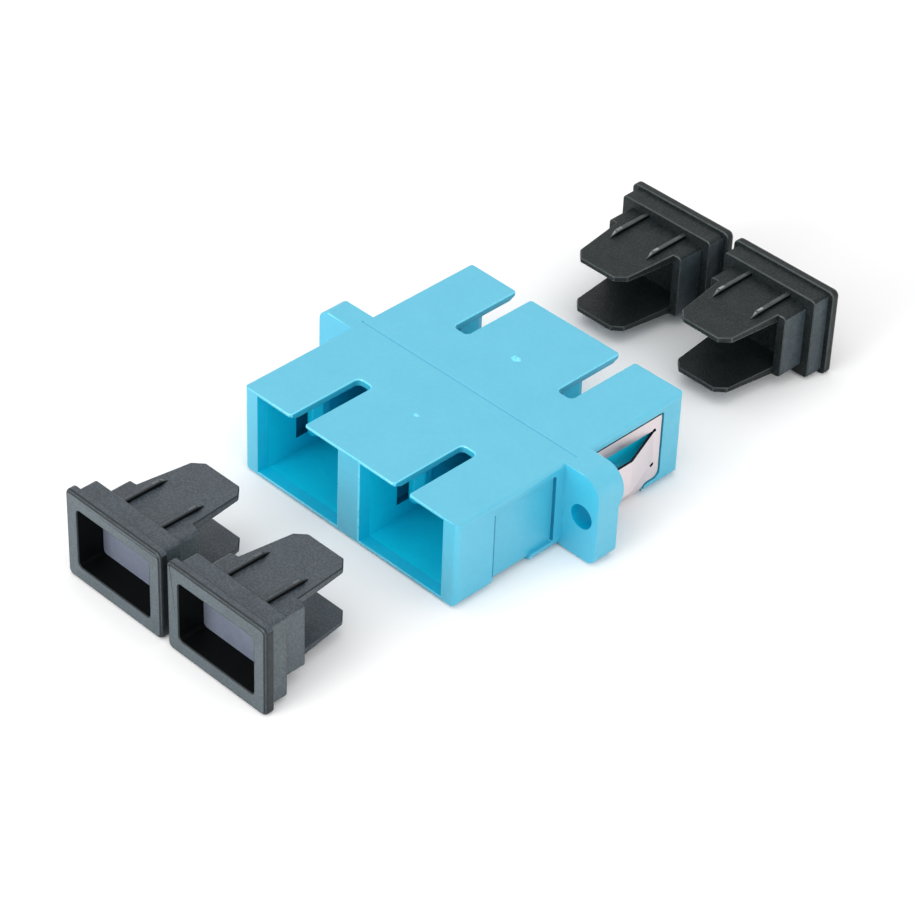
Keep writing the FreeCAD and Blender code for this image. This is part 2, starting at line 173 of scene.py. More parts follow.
# ------------------------------------------------------------------ finishes
@dataclass(frozen=True)
class Finish:
    """A surface finish that can build its own material."""

    name: str
    colour: str
    roughness: float

    def build(self) -> bpy.types.Material:
        """Build the material of this finish.

        Returns:
            The new material.
        """
        material = bpy.data.materials.new(self.name)
        material.use_nodes = True
        tree = material.node_tree
        tree.nodes.clear()
        shader = self.shade(tree)
        add_node(tree, "OutputMaterial", links={"Surface": shader.outputs[0]})
        return material

    def shade(self, tree: bpy.types.NodeTree) -> bpy.types.Node:
        """Build the shader and return its node; each kind of finish has its own."""
        raise NotImplementedError

    @staticmethod
    def uneven(tree: bpy.types.NodeTree, size_mm: float, detail: float,
               stretch: Point = (1, 1, 1)) -> bpy.types.NodeSocket:
        """Return a smooth random value whose patches are size_mm across.

        Args:
            tree: The node tree.
            size_mm: Width of one bump or patch on the object.
            detail: Octaves of finer patches on top.
            stretch: How much longer the patches are along each axis.

        Returns:
            The value's socket.
        """
        place = add_node(tree, "TexCoord").outputs["Object"]
        mapped = add_node(tree, "Mapping", links={"Vector": place},
                          Scale=tuple(1.0 / longer for longer in stretch))
        node = add_node(tree, "TexNoise", links={"Vector": mapped.outputs[0]},
                        Scale=1.0 / (size_mm * MM), Detail=detail)
        return node.outputs["Fac"]


@dataclass(frozen=True)
class MouldedPlastic(Finish):
    """Injection-moulded thermoplastic with a spark-eroded mould's fine grain.

    The real grain is 0.02 to 0.05 mm wide, too fine to show, so it is drawn at
    0.12 to 0.3 mm.
    """

    shade_colour: str = "#000000"
    mottle_mm: float = 3.0
    mottle: float = 0.3
    grain_mm: float = 0.12
    grain_depth_mm: float = 0.004
    ior: float = 1.5
    gloss_spread: float = 0.06
    gloss_patch_grains: float = 5.0
    speck_mm: float = 0.5
    speck: float = 0.25
    cloud_span: tuple[float, float] = (0.3, 0.7)
    speck_span: tuple[float, float] = (0.42, 0.62)

    def shade(self, tree: bpy.types.NodeTree) -> bpy.types.Node:
        """Mottled and specked base colour, uneven gloss and a fine grain.

        Args:
            tree: The material's node tree.

        Returns:
            The Principled node.
        """
        cloud = self.uneven(tree, self.mottle_mm, detail=3.0)
        patches = add_node(tree, "MapRange", {"clamp": True}, {"Value": cloud},
                           **spread(self.cloud_span, 0.0, self.mottle))
        dots = self.uneven(tree, self.speck_mm, detail=2.0)
        specks = add_node(tree, "MapRange", {"clamp": True}, {"Value": dots},
                          **spread(self.speck_span, 0.0, self.speck))
        amount = add_node(tree, "Math", {"operation": "ADD", "use_clamp": True},
                          {0: patches.outputs["Result"], 1: specks.outputs["Result"]})
        colour = add_node(tree, "Mix", {"data_type": "RGBA"},
                          {"Factor": amount.outputs[0]})
        colour.inputs[MIX_A].default_value = linear(self.colour)
        colour.inputs[MIX_B].default_value = linear(self.shade_colour)
        grain = self.uneven(tree, self.grain_mm, detail=1.0)
        bump = add_node(tree, "Bump", links={"Height": grain},
                        Strength=1.0, Distance=self.grain_depth_mm * MM)
        wear = self.uneven(tree, self.grain_mm * self.gloss_patch_grains, detail=2.0)
        gloss = add_node(tree, "MapRange", {"clamp": True}, {"Value": wear},
                         **spread(self.cloud_span, self.roughness - self.gloss_spread,
                                  self.roughness + self.gloss_spread))
        return add_node(tree, "BsdfPrincipled",
                        links={"Base Color": colour.outputs[MIX_RESULT],
                               "Roughness": gloss.outputs["Result"],
                               "Normal": bump.outputs[0]}, IOR=self.ior)


@dataclass(frozen=True)
class RolledSteel(Finish):
    """Cold-rolled stainless spring strip: fine lines along the rolling direction.

    Real rolling lines are about 0.01 mm apart, too fine to show, so they are drawn at
    0.05 mm.
    """

    line_mm: float = 0.05
    line_depth_mm: float = 0.0015
    line_stretch: Point = (1, 40, 1)
    cloud_mm: float = 1.2
    cloud_span: tuple[float, float] = (0.3, 0.7)
    gloss_spread: float = 0.07

    def shade(self, tree: bpy.types.NodeTree) -> bpy.types.Node:
        """Metal with rolling lines in relief and a clouded gloss.

        Args:
            tree: The material's node tree.

        Returns:
            The Principled node.
        """
        lines = self.uneven(tree, self.line_mm, detail=2.0,
                            stretch=self.line_stretch)
        cloud = self.uneven(tree, self.cloud_mm, detail=3.0)
        bump = add_node(tree, "Bump", links={"Height": lines}, Strength=1.0,
                        Distance=self.line_depth_mm * MM)
        gloss = add_node(tree, "MapRange", {"clamp": True}, {"Value": cloud},
                         **spread(self.cloud_span, self.roughness - self.gloss_spread,
                                  self.roughness + self.gloss_spread))
        return add_node(tree, "BsdfPrincipled",
                        links={"Roughness": gloss.outputs["Result"],
                               "Normal": bump.outputs[0]},
                        Base_Color=linear(self.colour), Metallic=1.0)


@dataclass(frozen=True)
class GroundCeramic(Finish):
    """Zirconia, ground and lapped: smooth, warm white and slightly waxy.

    Real grinding marks are a few thousandths of a millimetre apart, too fine to
    show, so they are drawn at 0.03 mm.
    """

    mark_mm: float = 0.03
    mark_depth_mm: float = 0.0005
    mark_stretch: Point = (20, 1, 20)
    ior: float = 2.1

    def shade(self, tree: bpy.types.NodeTree) -> bpy.types.Node:
        """White ceramic with faint grinding marks round the tube.

        Args:
            tree: The material's node tree.

        Returns:
            The Principled node.
        """
        marks = self.uneven(tree, self.mark_mm, detail=1.0,
                            stretch=self.mark_stretch)
        bump = add_node(tree, "Bump", links={"Height": marks}, Strength=1.0,
                        Distance=self.mark_depth_mm * MM)
        return add_node(tree, "BsdfPrincipled", links={"Normal": bump.outputs[0]},
                        Base_Color=linear(self.colour), Roughness=self.roughness,
                        IOR=self.ior)


@dataclass(frozen=True)
class StudioCard(Finish):
    """Matt white card of the floor."""

    def shade(self, tree: bpy.types.NodeTree) -> bpy.types.Node:
        """Diffuse card, a shade lighter where the camera or a mirror sees it.

        Args:
            tree: The material's node tree.

        Returns:
            The shader node.
        """
        colour = add_node(tree, "Mix", {"data_type": "RGBA"},
                          {"Factor": seen_directly(tree)})
        colour.inputs[MIX_A].default_value = linear(self.colour)
        colour.inputs[MIX_B].default_value = WHITE
        return add_node(tree, "BsdfDiffuse",
                        links={"Color": colour.outputs[MIX_RESULT]},
                        Roughness=self.roughness)


# PBT moulded in aqua.  The pigment is deep; the pale look of the outside is the
# satin gloss of a spark-eroded mould, which an IOR above PBT's own 1.6 gives.
AQUA_PBT = MouldedPlastic("aqua_pbt_moulded", "#31B3D2", 0.40,
                          shade_colour="#40BAD8", mottle_mm=4.0, mottle=0.5,
                          grain_mm=0.16, grain_depth_mm=0.006, ior=2.1)
# The same PBT on the tight, shiny radius that the tool's edge left, painted paler as
# a highlight along it.
AQUA_EDGE_HIGHLIGHT = MouldedPlastic("aqua_pbt_edge_painted_highlight", "#5CD6F2", 0.30, shade_colour="#52D0EE",
                           mottle_mm=1.5, mottle=0.6, grain_mm=0.16,
                           grain_depth_mm=0.003, ior=2.1)
# The same PBT off the polished cores of the ports, with less haze.  Its clear, deep
# colour is painted bounce light, brighter and bluer than the outside, in the ports and
# on the shaded floors under the clip.
AQUA_CORE_BOUNCE = MouldedPlastic("aqua_pbt_core_painted_bounce", "#09D9F6", 0.34, shade_colour="#09CFEE",
                           mottle_mm=3.0, mottle=0.4, grain_mm=0.16,
                           grain_depth_mm=0.002, ior=1.45)
# The walls of the key slots: satin, but painted a shade deeper as the shade inside
# the slots.
AQUA_SLOT_SHADE = MouldedPlastic("aqua_pbt_slot_painted_shade", "#2AA8C6", 0.42, shade_colour="#34B4D0",
                           mottle_mm=2.0, mottle=0.5, grain_mm=0.16,
                           grain_depth_mm=0.003, ior=1.8)
# Steps, reliefs and pocket brinks are painted darker, with less gloss, as the shade
# that falls there.
AQUA_SHADE = MouldedPlastic("aqua_pbt_painted_shade", "#0A7FA3", 0.5, shade_colour="#086C8C",
                           mottle_mm=2.0, mottle=0.5, grain_mm=0.16,
                           grain_depth_mm=0.003, ior=1.4)
# The lead-ins at the mouths and the screw holes' walls turn towards the light, yet
# look dark: an IOR near 1 takes their gloss away.
AQUA_MOUTH = MouldedPlastic("aqua_pbt_mouth", "#05B6DB", 0.34, shade_colour="#05ACD2",
                            mottle_mm=3.0, mottle=0.4, grain_mm=0.16,
                            grain_depth_mm=0.002, ior=1.2)
# The holders' PBT is from a polished insert and lies in the dark of the ports, with
# little gloss; like the ports', its deep colour is painted bounce light.
HOLDER_PBT_BOUNCE = MouldedPlastic("aqua_pbt_holder_painted_bounce", "#0EBEDE", 0.36, shade_colour="#0BB2D2",
                            mottle_mm=3.0, mottle=0.5, grain_mm=0.12,
                            grain_depth_mm=0.003, ior=1.35)
# Polyethylene with carbon black, handled at the front: charcoal with a grey-blue
# bloom in specks, which are drawn as coarse as they need to show.
CAP_PE_BLOOM = MouldedPlastic("black_pe_bloomed", "#273037", 0.42,
                              shade_colour="#414C55", mottle_mm=1.6, mottle=0.3,
                              grain_mm=0.3, grain_depth_mm=0.03, ior=1.55,
                              speck_mm=0.18, speck=0.8)
# The front caps' edges and lip sides are painted darker than the faces, as painted
# shade along them.
CAP_EDGE_BLOOM_SHADE = MouldedPlastic("black_pe_bloomed_edge_painted_shade", "#262D31", 0.40,
                                shade_colour="#1B2124", mottle_mm=0.8, mottle=0.8,
                                grain_mm=0.22, grain_depth_mm=0.006, ior=1.4)
# The outer face and the plug body's flanks are painted paler than the body, as
# painted light where they face the front and side lamps.
CAP_FACE_BLOOM_LIT = MouldedPlastic("black_pe_bloomed_face_painted_light", "#3B474C", 0.42,
                                shade_colour="#505D64", mottle_mm=1.6, mottle=0.3,
                                grain_mm=0.3, grain_depth_mm=0.03, ior=1.6,
                                speck_mm=0.18, speck=0.8)
# The recess floor is painted paler still, as painted light where the front lamp
# shines into the recess.
CAP_FLOOR_BLOOM_LIT = MouldedPlastic("black_pe_bloomed_floor_painted_light", "#666D7C", 0.5,
                                 shade_colour="#747B8C", mottle_mm=1.2, mottle=0.5,
                                 grain_mm=0.3, grain_depth_mm=0.02, ior=1.6,
                                 speck_mm=0.18, speck=0.6)
# The recess and rib walls are drawn along the tool, smooth and without bloom.  Their
# near-black colour is painted shade, and an IOR near 1 takes their gloss away.
CAP_WALL_SHADE = MouldedPlastic("black_pe_drawn_painted_shade", "#0C0F0F", 0.5, shade_colour="#090B0B",
                          mottle_mm=1.6, mottle=0.7, grain_mm=0.22,
                          grain_depth_mm=0.006, ior=1.18)
# The same polyethylene without the bloom: nearly black.
CAP_PE = MouldedPlastic("black_pe_moulded", "#121717", 0.46, shade_colour="#252C2E",
                        mottle_mm=1.6, mottle=0.3, grain_mm=0.3, grain_depth_mm=0.03,
                        ior=1.32, speck_mm=0.18, speck=0.8)
# Its edges are painted a little paler, as a painted highlight, and are shinier.
CAP_EDGE_HIGHLIGHT = MouldedPlastic("black_pe_edge_painted_highlight", "#3F4747", 0.30, shade_colour="#2A3131",
                          mottle_mm=0.8, mottle=0.8, grain_mm=0.22,
                          grain_depth_mm=0.006, ior=1.5)
# The plug body's flanks are painted a dull grey, paler than the body, as painted
# light on the sides.
CAP_FLANK_LIT = MouldedPlastic("black_pe_flank_painted_light", "#465259", 0.5, shade_colour="#343E43",
                           mottle_mm=1.2, mottle=0.7, grain_mm=0.3,
                           grain_depth_mm=0.02, ior=1.4, speck_mm=0.18, speck=0.6)
# The ribs bear on the port; their outer crests are painted pale and shiny, as a
# painted highlight.
CAP_CREST_HIGHLIGHT = MouldedPlastic("black_pe_rib_painted_highlight", "#A4A8A9", 0.28,
                           shade_colour="#62686A", mottle_mm=0.9, mottle=1.0,
                           grain_mm=0.22, grain_depth_mm=0.004, ior=1.6)
# On the front caps the bloom dulls that painted highlight.
CAP_CREST_BLOOM_HIGHLIGHT = MouldedPlastic("black_pe_bloomed_rib_painted_highlight", "#596267", 0.3,
                                 shade_colour="#434C51", mottle_mm=0.9, mottle=1.0,
                                 grain_mm=0.22, grain_depth_mm=0.004, ior=1.6)
# Stainless spring strip, cold rolled: bright, with fine lines along the ports.
CLIP_STEEL = RolledSteel("stainless_strip_rolled", "#E2D7D9", 0.5)
# The strip's sheared faces and a strip along its upper brinks are painted darker,
# as painted shade.
CLIP_EDGE_SHADE = RolledSteel("stainless_strip_sheared_painted_shade", "#242628", 0.5)
# Zirconia of the split sleeves.
ZIRCONIA = GroundCeramic("zirconia_ground", "#F1EEE6", 0.22)
# Uncoated card: evenly white and quite matt.
STUDIO_CARD = StudioCard("studio_card_white", "#F2F2F1", 0.9)


def built(finish: Finish) -> bpy.types.Material:
    """Return the finish's material, built on first use."""
    return bpy.data.materials.get(finish.name) or finish.build()


# ------------------------------------------------------------------ meshes
def mesh_object(name: str, points: np.ndarray, faces: list[list[int]],
                finish: Finish) -> bpy.types.Object:
    """Make a smooth-shaded mesh object at the origin.

    Args:
        name: The piece's name.
        points: Vertices as rows of x, y, z in millimetres.
        faces: Vertex numbers of each face, in turn as seen from outside.
        finish: The finish of the whole piece.

    Returns:
        The new object, linked to the scene.
    """
    mesh = bpy.data.meshes.new(name)
    mesh.from_pydata((points * MM).tolist(), [], faces)
    mesh.shade_smooth()
    mesh.validate()
    mesh.materials.append(built(finish))
    piece = bpy.data.objects.new(name, mesh)
    bpy.context.scene.collection.objects.link(piece)
    return piece


def ring_faces(rings: int, spokes: int) -> np.ndarray:
    """Return the quads between closed rings of vertices numbered ring by ring.

    Args:
        rings: Number of rings.
        spokes: Vertices in a ring.

    Returns:
        An array of four vertex numbers per quad.
    """
    i, j = np.meshgrid(np.arange(rings - 1), np.arange(spokes), indexing="ij")
    following = (j + 1) % spokes
    quads = [i * spokes + j, (i + 1) * spokes + j, (i + 1) * spokes + following,
             i * spokes + following]
    return np.stack(quads, axis=-1).reshape(-1, 4)


def part_off(work: bmesh.types.BMesh, faces: list[bmesh.types.BMFace], place: Point,
             square: Point, near_mm: float = 0.001) -> None:
    """Cut faces in two along a plane and keep both parts.

    Args:
        work: The mesh, in metres.
        faces: The faces that may be cut.
        place: A point on the plane, in metres.
        square: The plane's normal.
        near_mm: How near to the plane a vertex counts as on it.
    """
    parts = (part for face in faces for part in (face, *face.edges, *face.verts))
    bmesh.ops.bisect_plane(work, geom=list(dict.fromkeys(parts)), dist=near_mm * MM,
                           plane_co=place, plane_no=square)


# ------------------------------------------------------------------ sub-assemblies
@dataclass
class SoftEdged:
    """CAD solids whose edges get the small radius that a tool leaves."""

    finishes: tuple[Finish, ...]
    slot: str
    body_of: dict[str, str]
    nodes: tuple[str, ...]
    radius_mm: float = 0.1
    segments: int = 2
    sharp_degrees: float = 40.0
    fold_degrees: float = 10.0
    flat_mm: float = 0.5
    merge_mm: float = 0.001
    coplanar_degrees: float = 0.3
    keeps_overlap_limit: bool = True

    def build(self) -> list[bpy.types.Object]:
        """Make a softened copy of each node, which then stands for it.

        Returns:
            The new pieces.
        """
        materials = [built(finish) for finish in self.finishes]
        return [self.soften(node, materials) for node in self.nodes]

    def zones(self, node: str, centres: np.ndarray, normals: np.ndarray) -> np.ndarray:
        """Return each face's finish number; here all take the first."""
        return np.zeros(len(centres), dtype=np.int32)

    def prepare(self, node: str, work: bmesh.types.BMesh) -> None:
        """Cut faces further where a finish changes; here nothing is cut."""

    def rounds(self, edge: bmesh.types.BMEdge) -> bool:
        """Say whether a true edge gets the small radius; inner corners stay crisp."""
        return edge.is_convex

    def mark_edges(self, work: bmesh.types.BMesh) -> None:
        """Mark true edges as sharp, and those to be rounded with a weight of one.

        An edge is true where its faces turn by more than sharp_degrees, or by more
        than fold_degrees between two faces both wider than flat_mm.  The facets of a
        CAD fillet are narrower and turn less, so they stay smooth.

        Args:
            work: The joined mesh, in metres.
        """
        weight = work.edges.layers.float.new("bevel_weight_edge")
        shortest = 1e-9
        for edge in work.edges:
            if len(edge.link_faces) != 2:
                continue
            turn = math.degrees(edge.calc_face_angle(0.0))
            width = min(face.calc_area() for face in edge.link_faces) / max(
                edge.calc_length(), shortest)
            fold = turn > self.fold_degrees and width > self.flat_mm * MM
            edge.smooth = not (fold or turn > self.sharp_degrees)
            edge[weight] = float(not edge.smooth and self.rounds(edge))
        for face in work.faces:
            face.smooth = True

    def soften(self, node: str, materials: list[bpy.types.Material]
               ) -> bpy.types.Object:
        """Copy one node, join its triangles into faces and round its edges.

        Args:
            node: The CAD node's name.
            materials: The finish of the faces, that of the rounded edges, and any
                others that zones names.

        Returns:
            The copy.
        """
        mesh = bpy.data.meshes.new(node + "_finished")
        work = bmesh.new()
        work.from_mesh(bpy.data.objects[node].data)
        bmesh.ops.remove_doubles(work, verts=work.verts, dist=self.merge_mm * MM)
        bmesh.ops.dissolve_limit(work, angle_limit=math.radians(self.coplanar_degrees),
                                 verts=work.verts, edges=work.edges)
        self.prepare(node, work)
        self.mark_edges(work)
        centres = np.array([face.calc_center_median() for face in work.faces]) / MM
        normals = np.array([face.normal for face in work.faces])
        for face, zone in zip(work.faces, self.zones(node, centres, normals)):
            face.material_index = int(zone)
        work.to_mesh(mesh)
        work.free()
        for material in materials:
            mesh.materials.append(material)
        piece = bpy.data.objects.new(node + "_finished", mesh)
        bpy.context.scene.collection.objects.link(piece)
        bevel = piece.modifiers.new("soft_edges", "BEVEL")
        bevel.width = self.radius_mm * MM
        bevel.segments = self.segments
        bevel.limit_method = "WEIGHT"
        bevel.use_clamp_overlap = self.keeps_overlap_limit
        bevel.material = EDGE_FINISH
        flatten = piece.modifiers.new("flat_faces", "WEIGHTED_NORMAL")
        flatten.mode = "FACE_AREA"
        flatten.keep_sharp = True
        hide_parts(node)
        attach(piece, self.body_of[node])
        LOG.info("%s: %d faces before rounding", piece.name, len(mesh.polygons))
        return piece


class HousingZone(IntEnum):
    """Finishes of a housing half."""

    OUTSIDE = 0
    EDGE = 1
    CORE = 2
    SLOT = 3
    DEEP = 4
    MOUTH = 5


@dataclass
class Housing(SoftEdged):
    """The two housing halves: satin outside, painted bounce light in the ports, painted
    shade on the steps.
    """

    # The body's sides, called the skin here, and its ports with their lead-ins.  A
    # pair of half sizes or of widenings is across and up.
    skin_mm: float = 13.15
    port_x_mm: float = 6.35
    port_half_mm: tuple[float, float] = (4.6, 3.75)
    lead_in_mm: tuple[float, float] = (0.45, 0.42)
    lead_in_depth_mm: float = 0.88
    # The key slots through the top, and the reliefs for the latch arms.
    slot_half_mm: float = 1.2
    relief_half_mm: float = 2.3
    relief_inset_mm: float = 1.0
    relief_to_mm: float = 5.3
    # The clip pockets in the sides, sunk below the skin, and where those of the front
    # and the rear half end.
    pocket_depth_mm: float = 0.35
    pocket_half_mm: float = 3.3
    step_half_mm: float = 3.7
    crisp_half_mm: float = 3.8
    pocket_end_mm: tuple[float, float] = (9.65, 10.85)
    pocket_reach_mm: float = 11.0
    sill_from_mm: float = 9.0
    sill_upturn: float = 0.6
    # Dark lines of painted shade: the floor's strip in the shadow of the end, and a
    # strip along the brink.
    shadow_mm: float = 0.12
    shaded_brink_mm: float = 0.11
    # The weld's V, the end corners across and along, and the holes in the ears.
    seam_mm: float = 0.14
    corner_from_mm: tuple[float, float] = (12.4, 12.0)
    hole_from_mm: float = 0.5
    hole_half_mm: float = 1.3
    near_mm: float = 0.01
    flush_mm: float = 0.001
    rejoin_mm: float = 0.002

    def rounds(self, edge: bmesh.types.BMEdge) -> bool:
        """Leave the weld, pockets, ports' insides, end corners and ears as they are.

        Args:
            edge: The edge.

        Returns:
            True if it is rounded.
        """
        across, along, up = np.abs([vert.co / MM for vert in edge.verts]).T
        near = self.near_mm
        on_side = across < self.skin_mm + near
        seam = along < self.seam_mm
        pocket = on_side & (across > self.skin_mm - self.pocket_depth_mm - near) & (
            up < self.crisp_half_mm) & (along < self.pocket_reach_mm)
        port_half = np.add(self.port_half_mm, self.lead_in_mm)
        in_port = (np.abs(across - self.port_x_mm) < port_half[0]) & (
            up < port_half[1])
        corner = on_side & (across > self.corner_from_mm[0]) & (
            along > self.corner_from_mm[1])
        kept = any(part.all() for part in (seam, pocket, in_port, corner, ~on_side))
        return edge.is_convex and not kept

    def prepare(self, node: str, work: bmesh.types.BMesh) -> None:
        """Part off a strip of floor at each pocket's end, and one along its brink, for
        painted shade.

        The brink is cut on the front half alone, where no clip covers it.

        Args:
            node: The CAD node's name.
            work: The joined mesh, in metres.
        """
        for face in self.side_faces(work, self.skin_mm - self.pocket_depth_mm,
                                    self.near_mm):
            far = max((vert.co.y for vert in face.verts), key=abs)
            line = math.copysign(abs(far) - self.shadow_mm * MM, far)
            part_off(work, [face], (0.0, line, 0.0), (0.0, 1.0, 0.0))
        if not node.startswith(Side.FRONT.value):
            return
        brink = -self.pocket_end_mm[0] - self.shaded_brink_mm
        cuts = [((0.0, brink * MM, 0.0), (0.0, 1.0, 0.0))]
        cuts += [((0.0, 0.0, height * MM), (0.0, 0.0, 1.0))
                 for height in (-self.pocket_half_mm, self.pocket_half_mm)]
        for place, square in cuts:
            part_off(work, self.side_faces(work, self.skin_mm, self.flush_mm), place,
                     square)
        bmesh.ops.remove_doubles(work, verts=work.verts, dist=self.rejoin_mm * MM)

    @staticmethod
    def side_faces(work: bmesh.types.BMesh, across_mm: float, near_mm: float
                   ) -> list[bmesh.types.BMFace]:
        """Return the faces square to the X axis at one distance from the middle.

        Args:
            work: The joined mesh, in metres.
            across_mm: The distance of the faces from the middle plane.
            near_mm: How far off that a face may be.

        Returns:
            The faces of both sides.
        """
        return [face for face in work.faces if abs(face.normal.x) > SQUARE
                and abs(abs(face.calc_center_median().x) - across_mm * MM)
                < near_mm * MM]

    def zones(self, node: str, centres: np.ndarray, normals: np.ndarray) -> np.ndarray:
        """Tell the ports, slots and steps from the outside.

        Args:
            node: The CAD node's name.
            centres: Face centres in millimetres.
            normals: Face normals.

        Returns:
            A HousingZone number for each face.
        """
        low, high = (np.array(corner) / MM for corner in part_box(node))
        end = max(-low[1], high[1])
        near = self.near_mm
        across, along, up = np.abs(centres).T
        lengthways, height = centres[:, 1:].T
        turned = np.abs(normals)
        from_port = np.abs(across - self.port_x_mm)
        end_face = (turned[:, 1] > FACING) & (along > end - near)
        port_half = np.add(self.port_half_mm, self.lead_in_mm)
        port = (from_port < port_half[0] + near) & (up < port_half[1] - near) & (
            ~end_face)
        slot = (from_port < self.slot_half_mm) & (
            height > self.port_half_mm[1] + near) & (turned[:, 2] < ACROSS) & (
            up < high[2] - near) & ~end_face
        relief = (from_port > self.port_half_mm[0] + near) & (
            from_port < self.relief_to_mm) & (up < self.relief_half_mm) & (
            along < end - self.relief_inset_mm)
        floor = np.abs(across - self.skin_mm + self.pocket_depth_mm) < near
        step = (across > self.skin_mm - self.pocket_depth_mm - near) & (
            across < self.skin_mm - near) & (turned[:, 0] < ACROSS) & (
            up < self.step_half_mm) & (along < self.pocket_reach_mm)
        brink = (np.abs(across - self.skin_mm) < near) & (
            up < self.pocket_half_mm) & (lengthways < -self.pocket_end_mm[0]) & (
            lengthways > -self.pocket_end_mm[0] - self.shaded_brink_mm)
        pocket_end = np.where(lengthways < 0, *self.pocket_end_mm)
        strip = floor & (np.abs(along - pocket_end) < self.shadow_mm)
        clip_floor = floor & (lengthways > 0) & ~strip
        hole = (across > self.skin_mm + self.hole_from_mm) & (
            across < high[0] - near) & (turned[:, 1] < ACROSS) & (
            up < self.hole_half_mm)
        mouth = port & (along > end - self.lead_in_depth_mm) & (along < end - near)
        sill = step & ((normals[:, 2] > self.sill_upturn) | (
            lengthways > self.sill_from_mm))
        # The ports and the floors under the clip take painted bounce light.
        zone = np.where(port | clip_floor, HousingZone.CORE, HousingZone.OUTSIDE)
        zone = np.where(mouth, HousingZone.MOUTH, zone)
        # The key slots' walls take painted shade.
        zone = np.where(slot, HousingZone.SLOT, zone)
        zone = np.where(hole, HousingZone.MOUTH, zone)
        # Reliefs, steps, brinks and the strips at the pockets' ends take painted shade.
        zone = np.where(relief | step | brink | strip, HousingZone.DEEP, zone)
        return np.where(sill, HousingZone.OUTSIDE, zone)


class ClipZone(IntEnum):
    """Finishes of the clip."""

    ROLLED = 0
    SHEARED = 1


@dataclass
class SpringClip(SoftEdged):
    """The sheet-metal clip: rolled faces, and painted shade on its sheared faces and upper
    brinks.
    """

    cheek_from_mm: float = 12.7
    cheek_half_mm: float = 4.2
    shade_line_mm: float = 0.12

    def brink(self, node: str) -> float:
        """Return the height where the painted shade along the upper brink begins."""
        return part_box(node)[1][2] / MM - self.shade_line_mm

    def prepare(self, node: str, work: bmesh.types.BMesh) -> None:
        """Part off a strip along each cheek's upper edge, which takes painted shade.

        Args:
            node: The CAD node's name.
            work: The joined mesh, in metres.
        """
        cheeks = [face for face in work.faces if abs(face.normal.x) > FACING
                  and abs(face.calc_center_median().x) > self.cheek_from_mm * MM]
        part_off(work, cheeks, (0.0, 0.0, self.brink(node) * MM), (0.0, 0.0, 1.0))

    def zones(self, node: str, centres: np.ndarray, normals: np.ndarray) -> np.ndarray:
        """Tell the sheared faces and brinks of both cheeks, in painted shade, from the
        rolled faces.

        Args:
            node: The CAD node's name.
            centres: Face centres in millimetres.
            normals: Face normals.

        Returns:
            A ClipZone number for each face.
        """
        across, _, up = np.abs(centres).T
        cheek = (across > self.cheek_from_mm) & (up < self.cheek_half_mm)
        dark = (np.abs(normals[:, 0]) < ACROSS) | (centres[:, 2] > self.brink(node))
        return np.where(cheek & dark, ClipZone.SHEARED, ClipZone.ROLLED)


class CapZone(IntEnum):
    """Finishes of a dust cap."""

    BODY = 0
    EDGE = 1
    FLOOR = 2
    WALL = 3
    FACE = 4
    CREST = 5
    FLANK = 6


